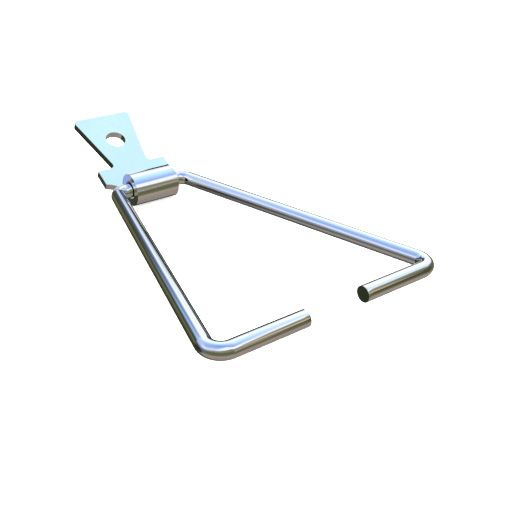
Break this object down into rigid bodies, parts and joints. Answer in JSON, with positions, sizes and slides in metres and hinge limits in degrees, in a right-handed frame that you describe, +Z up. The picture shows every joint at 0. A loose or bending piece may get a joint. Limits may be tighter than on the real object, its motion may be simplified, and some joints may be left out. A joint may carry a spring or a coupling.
{
  "type": "frame grip",
  "caption": "Hinged wire bail with two facing prongs, swinging in the rolled eye of a dovetail-shaped sheet tab with a fixing hole.",
  "frame": {"origin": "centre of the part's box, on the plane that the rolled eye rests on", "axes": "+X along the hinge pin, +Y from the prongs towards the tab, +Z up, with the wire bail level and the tab rising towards +Y"},
  "size_m": [0.0794, 0.1373, 0.0209],
  "materials": {
    "bright_sheet": "bright polished plating over stamped steel sheet",
    "bright_wire": "bright polished plating over drawn steel wire"
  },
  "bodies": {
    "bail": {"wire_bail": "bright_wire"},
    "tab": {"hinge_tab": "bright_sheet"}
  },
  "joints": [
    {"name": "tab_hinge", "type": "hinge", "parent": "bail", "child": "tab", "pos_m": [0, 0.0308, 0.00565], "axis": [1, 0, 0], "range_deg": [-162, 163]}
  ]
}
